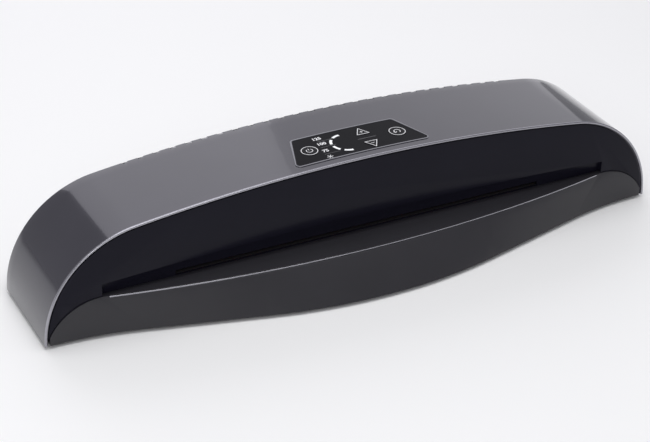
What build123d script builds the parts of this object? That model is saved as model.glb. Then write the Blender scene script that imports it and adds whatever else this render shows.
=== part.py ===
"""Pouch laminator, A3 size.

Frame: +X to the right, +Y to the rear, +Z up, millimetres. The origin is under the middle of the
machine, on the surface that the feet stand on. The pouch goes in at the front (-Y) and out at the rear.
"""
from build123d import *
import math
import os

os.makedirs("parts", exist_ok=True)

# ---- overall sizes -------------------------------------------------------------------------------
WIDTH = 532.0            # across the casing
COVER_HEIGHT = 98.0      # of the arched casing, without the feet
FOOT_HEIGHT = 3.0
BAND_DEPTH = 88.0        # of the arched top cover, front to rear
FRONT_BULGE = 45.0       # of the apron, in front of the band
REAR_BULGE = 16.0        # of the rear cover, behind the band
CORNER_RADIUS = 85.5     # of the casing's outline at both ends

# ---- walls and clearances ------------------------------------------------------------------------
WALL = 2.5
SEAM = 0.4               # gap between neighbouring covers
TRIM_WIDTH = 1.8         # bright edge of the top cover
TRIM_DEPTH = 1.5
FASCIA_SETBACK = 0.8     # the fascia lies this far behind the trim's face
SHAFT_CLEARANCE = 0.05   # radial, in every bore that turns
SLIDE_CLEARANCE = 0.15   # on each side of a part that slides
GEAR_BACKLASH = 0.06     # taken off each gear's tooth at the pitch circle

# ---- apron and pouch slot ------------------------------------------------------------------------
SHELF_HEIGHT = 31.0      # of the shelf above the casing's lower edge
SHELF_WALL = 2.2
LIP_HALF_WIDTH = 219.0
LIP_BULGE = 23.0         # of the shelf's lip in front of the band
APRON_HALF_WIDTH = 262.0
APRON_CENTRE_RADIUS = 397.0
APRON_END_RADIUS = 285.0
APRON_CORNER_RADIUS = 45.0
LIP_TRIM = 1.2
RECESS_HALF_WIDTH = 220.0
RECESS_END_HEIGHT = 10.5     # above the shelf
RECESS_MIDDLE_HEIGHT = 16.5
RECESS_DEPTH = 5.0
SLOT_HALF_WIDTH = 160.0
SLOT_HEIGHT = 4.4
GUIDE_WALL = 1.5
GUIDE_GAP = 0.9              # from a roller's face to the edge of a guide plate

# ---- rollers -------------------------------------------------------------------------------------
ROLLER_RADIUS = 11.0
CORE_RADIUS = 7.0
JOURNAL_RADIUS = 4.0
ROLLER_HALF_LENGTH = 164.0
NIP_GAP = 0.3
ROLLER_PITCH = 50.0          # from the front pair to the rear pair
FRONT_ROLLER_SETBACK = 23.5  # of the front pair behind the band's front edge
FLOAT_TRAVEL = 1.2           # lift of an upper roller over a thick pouch

# ---- side frames ---------------------------------------------------------------------------------
FRAME_INNER = 171.0
FRAME_WALL = 1.5
BLOCK_WIDTH = 12.0
BLOCK_HEIGHT = 14.0
BLOCK_FLANGE = 2.0
SPRING_LENGTH = 8.0
SPRING_RADIUS = 2.8
SPRING_WIRE = 0.8
SPRING_TURNS = 4
BUSH_RADIUS = 6.5
BUSH_FLANGE = 1.2

# ---- gears ---------------------------------------------------------------------------------------
MODULE = 1.0
ROLLER_TEETH = 22
IDLER_TEETH = 28
PINION_TEETH = 18
GEAR_WIDTH = 6.0
GEAR_START = 4.5             # from the right side frame's outer face to the gears
PRESSURE_ANGLE = math.radians(20)

# ---- heaters -------------------------------------------------------------------------------------
HEATER_DEPTH = 22.0
HEATER_WALL = 4.0
HEATER_GAP = 1.6
INSULATION_WALL = 3.0

# ---- motor ---------------------------------------------------------------------------------------
MOTOR_RADIUS = 23.0
MOTOR_LENGTH = 20.0
MOTOR_SHAFT_RADIUS = 2.5
BRACKET_WALL = 1.5
BRACKET_GAP = 4.0            # from the gears to the bracket

# ---- control panel -------------------------------------------------------------------------------
PANEL_SETBACK = 8.0          # of its front edge behind the band's front edge
PANEL_DEPTH = 40.4
CONTROL_SETBACK = 27.0       # of the middle line of its controls
PANEL_SEAT = 1.2             # depth of its pocket in the cover
PANEL_REAR_HALF = 45.0
PANEL_FRONT_HALF = 59.0
PANEL_CORNER = 4.0
PANEL_FRAME = 1.2
PANEL_RELIEF = 0.5           # of the frame above the cover
OVERLAY_RELIEF = 0.3
BUTTON_RADIUS = 7.0
ARROW_RADIUS = 8.0           # of the circle round an arrow button
ARROW_CORNER = 1.2
BUTTON_RELIEF = 0.6
BUTTON_TRAVEL = 0.6
BUTTON_GAP = 0.25
BUTTON_FLANGE = 1.0
BUTTON_SPREAD = 38.3         # of the two round buttons either side of the middle
ARROW_X = 11.6
ARROW_SPREAD = 9.6
INDICATOR_X = -5.9
INDICATOR_RADIUS = 12.6
INDICATOR_WIDTH = 2.2
INDICATOR_TURNS = (109, 156, 203, 250)   # of the middles of its four arcs, degrees from +X
INDICATOR_HALF_ARC = 16
PRISM_BELOW = 20.0           # how far below the casing's top an upright cutting prism starts
PRISM_HEIGHT = 30.0
BOARD_DROP = 12.0            # of the control board's top below the casing's top
BOARD_WALL = 1.6
SWITCH_HEIGHT = 3.4

# ---- vents, feet, screws -------------------------------------------------------------------------
VENT_PITCH = 13.3
VENT_WIDTH = 5.6
VENT_DEPTH = 2.0
VENT_COUNT = 26
VENT_REACH = 9.0             # of a vent's cut above and below the crown
FOOT_RADIUS = 8.0
SCREW_RADIUS = 1.5
SCREW_PLAY = 0.02            # radial, between a screw and its hole
SCREW_HEAD_RADIUS = 2.8
SCREW_HEAD_HEIGHT = 1.6

# ---- places that follow --------------------------------------------------------------------------
DEPTH = FRONT_BULGE + BAND_DEPTH + REAR_BULGE
BAND_FRONT = -DEPTH / 2 + FRONT_BULGE
BAND_REAR = BAND_FRONT + BAND_DEPTH
CASE_BOTTOM = FOOT_HEIGHT
CASE_TOP = FOOT_HEIGHT + COVER_HEIGHT
SHELF_TOP = CASE_BOTTOM + SHELF_HEIGHT
NIP_HEIGHT = SHELF_TOP + SLOT_HEIGHT / 2
LOWER_AXIS = NIP_HEIGHT - NIP_GAP / 2 - ROLLER_RADIUS
UPPER_AXIS = NIP_HEIGHT + NIP_GAP / 2 + ROLLER_RADIUS
FRONT_ROLLER = BAND_FRONT + FRONT_ROLLER_SETBACK
REAR_ROLLER = FRONT_ROLLER + ROLLER_PITCH
IDLER_Y = (FRONT_ROLLER + REAR_ROLLER) / 2
GUIDE_OFFSET = UPPER_AXIS - SHELF_TOP - SLOT_HEIGHT - GUIDE_WALL
GUIDE_REACH = math.sqrt(ROLLER_RADIUS**2 - GUIDE_OFFSET**2) + GUIDE_GAP
FRAME_OUTER = FRAME_INNER + FRAME_WALL
BLOCK_BOTTOM = UPPER_AXIS - BLOCK_HEIGHT / 2
BLOCK_TOP = UPPER_AXIS + BLOCK_HEIGHT / 2
SPRING_TOP = BLOCK_TOP + SPRING_LENGTH
PINION_HEIGHT = LOWER_AXIS + MODULE * (IDLER_TEETH + PINION_TEETH) / 2
GEAR_LEFT = FRAME_OUTER + GEAR_START
GEAR_RIGHT = GEAR_LEFT + GEAR_WIDTH
BRACKET_LEFT = GEAR_RIGHT + BRACKET_GAP


def save(shape, name):
    """Write one sub-part: its solids as one compound."""
    shapes = shape if isinstance(shape, list) else [shape]
    solids = [solid for piece in shapes for solid in piece.solids()]
    body = Compound(children=list(solids)) if len(solids) > 1 else solids[0]
    body.label = name
    export_step(body, f"parts/{name}.step")


def box(x0, x1, y0, y1, z0, z1):
    """A box between two corners."""
    size = Box(x1 - x0, y1 - y0, z1 - z0)
    return Pos((x0 + x1) / 2, (y0 + y1) / 2, (z0 + z1) / 2) * size


def rod_x(radius, x0, x1, y, z):
    """A round bar along X."""
    return Pos((x0 + x1) / 2, y, z) * Rot(0, 90, 0) * Cylinder(radius, x1 - x0)


def rod_y(radius, y0, y1, x, z):
    """A round bar along Y."""
    return Pos(x, (y0 + y1) / 2, z) * Rot(90, 0, 0) * Cylinder(radius, y1 - y0)


def rod_z(radius, z0, z1, x, y):
    """An upright round bar."""
    return Pos(x, y, (z0 + z1) / 2) * Cylinder(radius, z1 - z0)


def screw(x, y, z, length, up=True):
    """An upright pan-head screw: its head's seat is at z and its shank runs up (or down) from there."""
    way = 1 if up else -1
    shank = rod_z(SCREW_RADIUS, min(z, z + way * length), max(z, z + way * length), x, y)
    ends = sorted((z, z - way * SCREW_HEAD_HEIGHT))
    head = rod_z(SCREW_HEAD_RADIUS, *ends, x, y)
    return shank + head


# ---- the casing's outline ------------------------------------------------------------------------
CROWN_RADIUS = ((WIDTH**2 / 4 - WIDTH * CORNER_RADIUS + COVER_HEIGHT**2)
                / (2 * (COVER_HEIGHT - CORNER_RADIUS)))
CORNER_X = WIDTH / 2 - CORNER_RADIUS
CROWN_CENTRE = CASE_TOP - CROWN_RADIUS


def arch_height(x, inset=0.0):
    """Height of the arched outline at x, drawn in by an inset."""
    meeting = CORNER_X * (CROWN_RADIUS - inset) / (CROWN_RADIUS - CORNER_RADIUS)
    if abs(x) <= meeting:
        return CROWN_CENTRE + math.sqrt((CROWN_RADIUS - inset)**2 - x**2)
    return CASE_BOTTOM + math.sqrt((CORNER_RADIUS - inset)**2 - (abs(x) - CORNER_X)**2)


def arch_wire(inset, y):
    """The arched outline at depth y: a crown arc between two corner arcs, closed along the bottom."""
    end = WIDTH / 2 - inset
    crown = CROWN_RADIUS - inset
    corner = CORNER_RADIUS - inset
    lean = math.asin(CORNER_X / (CROWN_RADIUS - CORNER_RADIUS))
    meet_x = crown * math.sin(lean)
    meet_z = CROWN_CENTRE + crown * math.cos(lean)
    half = (math.pi / 2 - lean) / 2
    side_x = CORNER_X + corner * math.cos(half)
    side_z = CASE_BOTTOM + corner * math.sin(half)
    return Wire([
        ThreePointArc((-end, y, CASE_BOTTOM), (-side_x, y, side_z), (-meet_x, y, meet_z)),
        ThreePointArc((-meet_x, y, meet_z), (0, y, CASE_TOP - inset), (meet_x, y, meet_z)),
        ThreePointArc((meet_x, y, meet_z), (side_x, y, side_z), (end, y, CASE_BOTTOM)),
        Line((end, y, CASE_BOTTOM), (-end, y, CASE_BOTTOM)),
    ])


def arch(inset, y0, y1):
    """The casing's arched outline as a solid from y0 to y1."""
    return Solid(extrude(Face(arch_wire(inset, y0)), amount=y1 - y0, dir=(0, 1, 0)).wrapped)


# ---- the apron's outlines ------------------------------------------------------------------------
def bell_points():
    """Half the apron's lower plan curve: its middle arc, a straight flank and an end arc."""
    both = APRON_CENTRE_RADIUS + APRON_END_RADIUS
    flank = math.sqrt(APRON_HALF_WIDTH**2 + (both - FRONT_BULGE)**2 - both**2)
    turn = math.atan2(APRON_HALF_WIDTH, both - FRONT_BULGE) - math.atan2(flank, both)
    x1 = APRON_CENTRE_RADIUS * math.sin(turn)
    y1 = FRONT_BULGE - APRON_CENTRE_RADIUS * (1 - math.cos(turn))
    x2 = APRON_HALF_WIDTH - APRON_END_RADIUS * math.sin(turn)
    y2 = APRON_END_RADIUS * (1 - math.cos(turn))
    xm = APRON_HALF_WIDTH - APRON_END_RADIUS * math.sin(turn / 2)
    ym = APRON_END_RADIUS * (1 - math.cos(turn / 2))
    return (x1, y1), (x2, y2), (xm, ym)


def bell_face(z):
    """The apron's plan at its foot."""
    front = BAND_FRONT - FRONT_BULGE
    (x1, y1), (x2, y2), (xm, ym) = bell_points()
    y1, y2, ym = (BAND_FRONT - y for y in (y1, y2, ym))
    end = APRON_HALF_WIDTH
    return Face(Wire([
        ThreePointArc((-end, BAND_FRONT, z), (-xm, ym, z), (-x2, y2, z)),
        Line((-x2, y2, z), (-x1, y1, z)),
        ThreePointArc((-x1, y1, z), (0, front, z), (x1, y1, z)),
        Line((x1, y1, z), (x2, y2, z)),
        ThreePointArc((x2, y2, z), (xm, ym, z), (end, BAND_FRONT, z)),
        Line((end, BAND_FRONT, z), (end, BAND_FRONT + RECESS_DEPTH, z)),
        Line((end, BAND_FRONT + RECESS_DEPTH, z), (-end, BAND_FRONT + RECESS_DEPTH, z)),
        Line((-end, BAND_FRONT + RECESS_DEPTH, z), (-end, BAND_FRONT, z)),
    ]))


LIP_RADIUS = (LIP_HALF_WIDTH**2 + LIP_BULGE**2) / (2 * LIP_BULGE)


def lip_y(x, inset=0.0):
    """Depth of the shelf's lip at x."""
    return BAND_FRONT - LIP_BULGE + LIP_RADIUS - math.sqrt((LIP_RADIUS - inset)**2 - x**2)


def lip_face(inset, z):
    """The apron's plan at its top: the lip's arc, with a short straight run at both ends."""
    (x1, _), (x2, _), _ = bell_points()
    end = APRON_HALF_WIDTH
    arc_end = math.sqrt((LIP_RADIUS - inset)**2 - (LIP_RADIUS - LIP_BULGE)**2)
    middle = (x1 + x2) / 2

    def on_lip(x):
        return (x, lip_y(x, inset), z)

    return Face(Wire([
        Line((-end, BAND_FRONT, z), (-arc_end, BAND_FRONT, z)),
        ThreePointArc((-arc_end, BAND_FRONT, z), on_lip(-middle), on_lip(-x1)),
        ThreePointArc(on_lip(-x1), on_lip(0), on_lip(x1)),
        ThreePointArc(on_lip(x1), on_lip(middle), (arc_end, BAND_FRONT, z)),
        Line((arc_end, BAND_FRONT, z), (end, BAND_FRONT, z)),
        Line((end, BAND_FRONT, z), (end, BAND_FRONT + RECESS_DEPTH, z)),
        Line((end, BAND_FRONT + RECESS_DEPTH, z), (-end, BAND_FRONT + RECESS_DEPTH, z)),
        Line((-end, BAND_FRONT + RECESS_DEPTH, z), (-end, BAND_FRONT, z)),
    ]))


def shoulder(inset, y0, y1):
    """The apron seen from the front: flat along the shelf, rounded down to the casing's lower corners."""
    radius = APRON_CORNER_RADIUS - inset
    top = SHELF_TOP - inset
    centre_x = LIP_HALF_WIDTH + 3.0
    centre_z = SHELF_TOP - APRON_CORNER_RADIUS
    drop = CASE_BOTTOM - centre_z
    end = centre_x + math.sqrt(radius**2 - drop**2)
    lean = (math.pi / 2 + math.asin(drop / radius)) / 2
    mid = (centre_x + radius * math.cos(lean), centre_z + radius * math.sin(lean))
    face = Face(Wire([
        ThreePointArc((-end, y0, CASE_BOTTOM), (-mid[0], y0, mid[1]), (-centre_x, y0, top)),
        Line((-centre_x, y0, top), (centre_x, y0, top)),
        ThreePointArc((centre_x, y0, top), (mid[0], y0, mid[1]), (end, y0, CASE_BOTTOM)),
        Line((end, y0, CASE_BOTTOM), (-end, y0, CASE_BOTTOM)),
    ]))
    return extrude(face, amount=y1 - y0, dir=(0, 1, 0))


def apron_block(inward=0.0):
    """The whole apron as a solid, moved inward from the front and the top."""
    outlines = [bell_face(CASE_BOTTOM).outer_wire(), lip_face(0, SHELF_TOP).outer_wire()]
    block = Solid.make_loft(outlines, ruled=True)
    return Pos(0, inward, -inward) * (block & shoulder(0, -DEPTH, BAND_FRONT + RECESS_DEPTH))


# ---- front: apron, lip trim, fascia, edge trim ---------------------------------------------------
FASCIA_FRONT = BAND_FRONT + FASCIA_SETBACK
FASCIA_BACK = FASCIA_FRONT + WALL
RECESS_BACK = BAND_FRONT + RECESS_DEPTH
POCKET_BACK = RECESS_BACK + SHELF_WALL


def lip_strip(grow):
    """A thin strip along the shelf's lip, let into the corner between the shelf and the apron's front."""
    outer = extrude(lip_face(-grow, SHELF_TOP - LIP_TRIM), amount=LIP_TRIM, dir=(0, 0, 1))
    inner = extrude(lip_face(LIP_TRIM, SHELF_TOP - LIP_TRIM), amount=LIP_TRIM, dir=(0, 0, 1))
    keep = box(-LIP_HALF_WIDTH + 4, LIP_HALF_WIDTH - 4, -DEPTH, BAND_FRONT - 0.3, CASE_BOTTOM, CASE_TOP)
    return (outer - inner) & keep


def front_apron():
    """Bulging apron: its top is the shelf, its underside is open."""
    end = APRON_HALF_WIDTH - 2 * SHELF_WALL
    cavity = apron_block(SHELF_WALL) & box(-end, end, -DEPTH, DEPTH, 0, SHELF_TOP)
    return apron_block() - cavity - lip_strip(2.0)


def recess_region(grow, floor, y0, y1):
    """The entry recess seen from the front: a long slot with a gently arched top edge."""
    half = RECESS_HALF_WIDTH + grow
    side = SHELF_TOP + RECESS_END_HEIGHT + grow
    middle = SHELF_TOP + RECESS_MIDDLE_HEIGHT + grow
    face = Face(Wire([
        Line((-half, y0, floor), (-half, y0, side)),
        ThreePointArc((-half, y0, side), (0, y0, middle), (half, y0, side)),
        Line((half, y0, side), (half, y0, floor)),
        Line((half, y0, floor), (-half, y0, floor)),
    ]))
    return extrude(face, amount=y1 - y0, dir=(0, 1, 0))


def front_fascia():
    """Glossy front plate with the entry recess behind it."""
    plate = arch(WALL + SEAM, FASCIA_FRONT, FASCIA_BACK)
    plate -= shoulder(-SEAM, FASCIA_FRONT - 1, FASCIA_BACK + 1)
    pocket = recess_region(SHELF_WALL, SHELF_TOP + SEAM, FASCIA_FRONT, POCKET_BACK)
    wall = box(-RECESS_HALF_WIDTH, RECESS_HALF_WIDTH, RECESS_BACK, POCKET_BACK,
               SHELF_TOP - SHELF_WALL, SHELF_TOP + RECESS_END_HEIGHT)
    body = plate + pocket + wall
    body -= recess_region(0, SHELF_TOP - 0.01, BAND_FRONT - 1, RECESS_BACK)
    slot = box(-SLOT_HALF_WIDTH, SLOT_HALF_WIDTH, RECESS_BACK - 1, POCKET_BACK + 1,
               SHELF_TOP, SHELF_TOP + SLOT_HEIGHT)
    return body - slot


def front_trim():
    """Bright edge round the front of the arched cover."""
    y1 = BAND_FRONT + TRIM_DEPTH
    return arch(0, BAND_FRONT, y1) - arch(TRIM_WIDTH, BAND_FRONT, y1)


# ---- control panel plan --------------------------------------------------------------------------
PANEL_Y = BAND_FRONT + PANEL_SETBACK
CONTROL_Y = BAND_FRONT + CONTROL_SETBACK
BOARD_TOP = CASE_TOP - BOARD_DROP
BUTTON_PLACES = {
    "power_button": (-BUTTON_SPREAD, CONTROL_Y, "round"),
    "reverse_button": (BUTTON_SPREAD, CONTROL_Y, "round"),
    "plus_button": (ARROW_X, CONTROL_Y + ARROW_SPREAD, "up"),
    "minus_button": (ARROW_X, CONTROL_Y - ARROW_SPREAD, "down"),
}


def layer(over, under):
    """The skin of the crown between two insets from the outline; a negative inset is proud of it."""
    keep = box(-WIDTH / 4, WIDTH / 4, BAND_FRONT, BAND_REAR, CASE_TOP - 20, CASE_TOP + 5)
    return (arch(over, BAND_FRONT, BAND_REAR) - arch(under, BAND_FRONT, BAND_REAR)) & keep


def panel_prism(inset):
    """The panel's plan, a trapezoid with rounded corners, as an upright prism."""
    corners = [
        (-PANEL_FRONT_HALF + inset, PANEL_Y + inset),
        (PANEL_FRONT_HALF - inset, PANEL_Y + inset),
        (PANEL_REAR_HALF - inset, PANEL_Y + PANEL_DEPTH - inset),
        (-PANEL_REAR_HALF + inset, PANEL_Y + PANEL_DEPTH - inset),
    ]
    outline = FilletPolyline(*corners, radius=PANEL_CORNER - inset, close=True)
    face = Face(Wire(outline.edges()))
    return Pos(0, 0, CASE_TOP - 20) * extrude(face, amount=30, dir=(0, 0, 1))


def button_prism(kind, x, y, grow):
    """A button's plan as an upright prism: a disc, or a triangle with rounded corners."""
    if kind == "round":
        bottom = CASE_TOP - PRISM_BELOW
        return rod_z(BUTTON_RADIUS + grow, bottom, bottom + PRISM_HEIGHT, x, y)
    way = 1 if kind == "up" else -1
    reach = ARROW_RADIUS + grow * 2
    points = [(x + reach * math.cos(a), y + way * reach * math.sin(a))
              for a in (math.radians(90), math.radians(210), math.radians(330))]
    face = Face(Wire(FilletPolyline(*points, radius=ARROW_CORNER + grow, close=True).edges()))
    return Pos(0, 0, CASE_TOP - PRISM_BELOW) * extrude(face, amount=PRISM_HEIGHT, dir=(0, 0, 1))


def indicator_prism():
    """Four short arcs in the shape of a C: the temperature indicator."""
    arcs = []
    foot = Pos(INDICATOR_X, CONTROL_Y, CASE_TOP - PRISM_BELOW)
    ring = Circle(INDICATOR_RADIUS + INDICATOR_WIDTH / 2) - Circle(INDICATOR_RADIUS - INDICATOR_WIDTH / 2)
    bar = foot * extrude(ring, amount=PRISM_HEIGHT, dir=(0, 0, 1))
    reach = 2 * INDICATOR_RADIUS
    half = reach * math.tan(math.radians(INDICATOR_HALF_ARC))
    sector = Polygon((0, 0), (reach, -half), (reach, half), align=None)
    wedge = extrude(sector, amount=PRISM_HEIGHT, dir=(0, 0, 1))
    for turn in INDICATOR_TURNS:
        arcs.append(bar & (foot * Rot(0, 0, turn) * wedge))
    return arcs


# ---- casing: top cover, rear cover, base pan, feet -----------------------------------------------
BOSS_RADIUS = 4.5
BOSS_X = WIDTH / 2 - 28.0
BOSS_YS = (BAND_FRONT + 16.0, BAND_REAR - 16.0)
PAN_WALL = 2.0
PAN_TOP = CASE_BOTTOM + PAN_WALL
REAR_SHADOW = 1.2        # the rear cover starts this far inside the band's outline
REAR_TAPER = 14.0        # and ends this far inside it
SPIGOT_DEPTH = 4.0
SPIGOT_WALL = 1.8
GLAND_X = -205.0
GLAND_Z = CASE_BOTTOM + 17.0
GLAND_RADIUS = 7.0
GLAND_FLANGE_RADIUS = 9.5
GLAND_FLANGE = 1.5
GLAND_BORE = 3.6
GLAND_LENGTH = 16.0
REAR_FACE = BAND_REAR + REAR_BULGE
EXIT_SLOT_HEIGHT = SLOT_HEIGHT + 1.0
FOOT_X = 210.0
FOOT_YS = (BAND_FRONT + 12.0, REAR_FACE - 22.0)
FOOT_STEM_RADIUS = 3.0
BOARD_HOLES = [(x, BAND_FRONT + PANEL_SETBACK + PANEL_DEPTH / 2 + y) for x in (-66, 66) for y in (-15, 15)]


def boss(x, y, z0, z1, radius=BOSS_RADIUS):
    """A round screw boss, hollow for its screw."""
    return rod_z(radius, z0, z1, x, y) - rod_z(SCREW_RADIUS + SCREW_PLAY, z0 - 1, z0 + 12, x, y)


def top_cover():
    """Arched band with vents along its rear edge, a panel pocket and screw bosses."""
    y0 = BAND_FRONT + TRIM_DEPTH
    shell = arch(0, y0, BAND_REAR) - arch(WALL, y0, BAND_REAR)
    solid = arch(WALL / 2, y0, BAND_REAR)
    for side in (-1, 1):
        for y in BOSS_YS:
            shell += boss(side * BOSS_X, y, PAN_TOP, CASE_TOP) & solid
    for x, y in BOARD_HOLES:
        shell += boss(x, y, BOARD_TOP, CASE_TOP, 3.5) & solid
    for i in range(VENT_COUNT):
        x = (i - (VENT_COUNT - 1) / 2) * VENT_PITCH
        z = arch_height(x)
        shell -= box(x - VENT_WIDTH / 2, x + VENT_WIDTH / 2, BAND_REAR - VENT_DEPTH, BAND_REAR + 1,
                     z - VENT_REACH, z + VENT_REACH)
    shell -= panel_prism(0) & layer(-2, PANEL_SEAT)
    for x, y, kind in BUTTON_PLACES.values():
        shell -= button_prism(kind, x, y, BUTTON_GAP) & layer(0, WALL + 1)
    for bar in indicator_prism():
        shell -= bar & layer(0, WALL + 1)
    return shell


def rear_loft(inset, y1):
    """The rear cover's tapering outline as a solid."""
    near = arch_wire(REAR_SHADOW + inset, BAND_REAR)
    far = arch_wire(REAR_TAPER + inset, y1)
    return Solid.make_loft([near, far], ruled=True)


REAR_VENT_COUNT = 15
REAR_VENT_PITCH = 16.0
REAR_VENT_WIDTH = 5.0
REAR_VENT_SPAN = (CASE_BOTTOM + 52.0, CASE_BOTTOM + 70.0)


def rear_cover():
    """Tapering rear shell with the exit slot, vents and the gland's seat."""
    shell = rear_loft(0, REAR_FACE) - rear_loft(WALL, REAR_FACE - WALL)
    y0 = BAND_REAR - SPIGOT_DEPTH
    spigot = arch(WALL + SEAM, y0, BAND_REAR) - arch(WALL + SEAM + SPIGOT_WALL, y0, BAND_REAR)
    step = arch(REAR_SHADOW + WALL / 2, BAND_REAR, BAND_REAR + 1)
    step -= arch(WALL + SEAM + SPIGOT_WALL, BAND_REAR, BAND_REAR + 1)
    keep = box(-WIDTH, WIDTH, y0 - 1, REAR_FACE, PAN_TOP + SEAM, CASE_TOP)
    shell += (spigot + step) & keep
    through = (REAR_FACE - WALL - 1, REAR_FACE + 1)
    slot_bottom = SHELF_TOP - 0.5
    shell -= box(-SLOT_HALF_WIDTH, SLOT_HALF_WIDTH, *through, slot_bottom, slot_bottom + EXIT_SLOT_HEIGHT)
    for i in range(REAR_VENT_COUNT):
        x = (i - (REAR_VENT_COUNT - 1) / 2) * REAR_VENT_PITCH
        shell -= box(x - REAR_VENT_WIDTH / 2, x + REAR_VENT_WIDTH / 2, *through, *REAR_VENT_SPAN)
    shell -= rod_y(GLAND_RADIUS, REAR_FACE - WALL - 1, REAR_FACE + 1, GLAND_X, GLAND_Z)
    shell -= rod_y(GLAND_FLANGE_RADIUS, REAR_FACE - GLAND_FLANGE, REAR_FACE + 1, GLAND_X, GLAND_Z)
    return shell


def cord_gland():
    """Captive bush for the mains cord: flange flush with the rear face, barrel running inward."""
    flange = rod_y(GLAND_FLANGE_RADIUS, REAR_FACE - GLAND_FLANGE, REAR_FACE, GLAND_X, GLAND_Z)
    barrel = rod_y(GLAND_RADIUS, REAR_FACE - GLAND_LENGTH, REAR_FACE - GLAND_FLANGE, GLAND_X, GLAND_Z)
    return flange + barrel - rod_y(GLAND_BORE, REAR_FACE - GLAND_LENGTH - 1, REAR_FACE + 1, GLAND_X, GLAND_Z)


FRAME_SCREWS = [(side * (FRAME_INNER - 6.0), y) for side in (-1, 1)
                for y in (BAND_FRONT + 10.0, BAND_REAR - 8.0)]
POWER_BOARD_X = (-252.0, -186.0)
POWER_BOARD_Y = (BAND_FRONT + 26.0, BAND_REAR - 26.0)
SPACER_HEIGHT = 5.0
POWER_SPACERS = [(x, y) for x in (POWER_BOARD_X[0] + 24, POWER_BOARD_X[1] - 5)
                 for y in (POWER_BOARD_Y[0] + 5, POWER_BOARD_Y[1] - 5)]
COVER_SCREWS = [(side * BOSS_X, y) for side in (-1, 1) for y in BOSS_YS]


def base_pan():
    """Flat floor of the casing, with its screw and foot holes."""
    half = WIDTH / 2 - WALL - SEAM
    tongue = APRON_HALF_WIDTH - 12.0
    slab = box(-half, half, BAND_FRONT + RECESS_DEPTH + 0.5, BAND_REAR, CASE_BOTTOM, PAN_TOP)
    front = apron_block(SHELF_WALL + SEAM)
    front &= box(-tongue, tongue, -DEPTH, BAND_FRONT + RECESS_DEPTH, CASE_BOTTOM, PAN_TOP)
    joint = box(-tongue, tongue, BAND_FRONT + RECESS_DEPTH - 1.0,
                BAND_FRONT + RECESS_DEPTH + 0.5, CASE_BOTTOM, PAN_TOP)
    rear = rear_loft(WALL + SEAM, REAR_FACE - WALL - SEAM)
    rear &= box(-half, half, BAND_REAR, REAR_FACE, CASE_BOTTOM, PAN_TOP)
    pan = slab + front + joint + rear
    for x, y in COVER_SCREWS + FRAME_SCREWS:
        pan -= rod_z(SCREW_RADIUS + 0.1, CASE_BOTTOM - 1, PAN_TOP + 1, x, y)
    for x in (-FOOT_X, FOOT_X):
        for y in FOOT_YS:
            pan -= rod_z(FOOT_STEM_RADIUS, CASE_BOTTOM - 1, PAN_TOP + 1, x, y)
    return pan


def feet():
    """Four rubber feet: a disc under the pan and a stem through it."""
    found = []
    for x in (-FOOT_X, FOOT_X):
        for y in FOOT_YS:
            pad = rod_z(FOOT_RADIUS, 0, CASE_BOTTOM, x, y)
            found.append(pad + rod_z(FOOT_STEM_RADIUS, CASE_BOTTOM, PAN_TOP + 1, x, y))
    return found


# ---- control panel -------------------------------------------------------------------------------
def panel_frame():
    """Thin bright frame round the panel."""
    return (panel_prism(0) - panel_prism(PANEL_FRAME)) & layer(-PANEL_RELIEF, PANEL_SEAT)


def panel_overlay():
    """Black plate of the panel, pierced for the buttons and the indicator."""
    plate = panel_prism(PANEL_FRAME) & layer(-OVERLAY_RELIEF, PANEL_SEAT)
    for x, y, kind in BUTTON_PLACES.values():
        plate -= button_prism(kind, x, y, BUTTON_GAP)
    for bar in indicator_prism():
        plate -= bar
    return plate


def button(kind, x, y):
    """A push button: cap, flange under the cover and a stem above its switch."""
    top = BUTTON_RELIEF
    flange_top = WALL + 0.1
    cap = button_prism(kind, x, y, 0) & layer(-top, flange_top + BUTTON_FLANGE)
    flange = button_prism(kind, x, y, 1.0) & layer(flange_top, flange_top + BUTTON_FLANGE)
    stem = rod_z(1.8, BOARD_TOP + SWITCH_HEIGHT + BUTTON_TRAVEL + 0.1, CASE_TOP - WALL, x, y)
    return cap + flange + (stem & arch(WALL, BAND_FRONT, BAND_REAR))


def light_pipes():
    """The indicator's four clear arcs, standing on their lamps."""
    clear = arch(-OVERLAY_RELIEF, BAND_FRONT, BAND_REAR)
    room = box(-PANEL_FRONT_HALF, PANEL_FRONT_HALF, BAND_FRONT, BAND_REAR, BOARD_TOP, CASE_TOP + 5)
    return [bar & clear & room for bar in indicator_prism()]


def control_board():
    """Board under the panel with its four switches."""
    y = BAND_FRONT + PANEL_SETBACK + PANEL_DEPTH / 2
    board = box(-72, 72, y - 20, y + 20, BOARD_TOP - BOARD_WALL, BOARD_TOP)
    for x, y in BOARD_HOLES:
        board -= rod_z(SCREW_RADIUS + 0.1, BOARD_TOP - 5, BOARD_TOP + 5, x, y)
    return board


def switches():
    """Tact switches on the control board, one under each button."""
    return [box(x - 3, x + 3, y - 3, y + 3, BOARD_TOP, BOARD_TOP + SWITCH_HEIGHT - 0.8)
            + rod_z(1.7, BOARD_TOP, BOARD_TOP + SWITCH_HEIGHT, x, y) for x, y, _ in BUTTON_PLACES.values()]


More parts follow.
